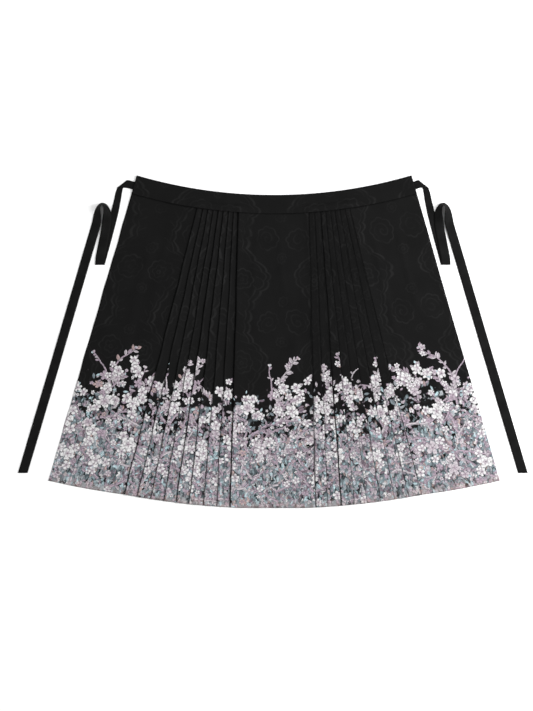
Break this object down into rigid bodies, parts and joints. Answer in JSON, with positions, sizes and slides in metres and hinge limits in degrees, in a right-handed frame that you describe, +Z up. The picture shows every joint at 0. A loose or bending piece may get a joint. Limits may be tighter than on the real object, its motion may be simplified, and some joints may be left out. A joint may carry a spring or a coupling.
{
  "type": "hanfu skirt",
  "caption": "Long black pleated wrap skirt with a blossom border, opened out flat, with a curved waistband and a folded tie at each end.",
  "frame": {"origin": "on the surface it lies on, under the middle of its bounding box", "axes": "+X across the skirt from the left tie to the right tie, +Y towards the waistband, +Z up from the surface"},
  "size_m": [1.5512, 1.0118, 0.0284],
  "materials": {
    "skirt_cloth": "near-black self-coloured jacquard with a printed blossom border",
    "waistband_cloth": "near-black woven cloth, interfaced",
    "tie_ribbon": "near-black woven ribbon"
  },
  "bodies": {
    "root": {"skirt_left": "skirt_cloth", "skirt_right": "skirt_cloth", "waistband": "waistband_cloth", "tie_left": "tie_ribbon", "tie_right": "tie_ribbon"}
  },
  "joints": []
}
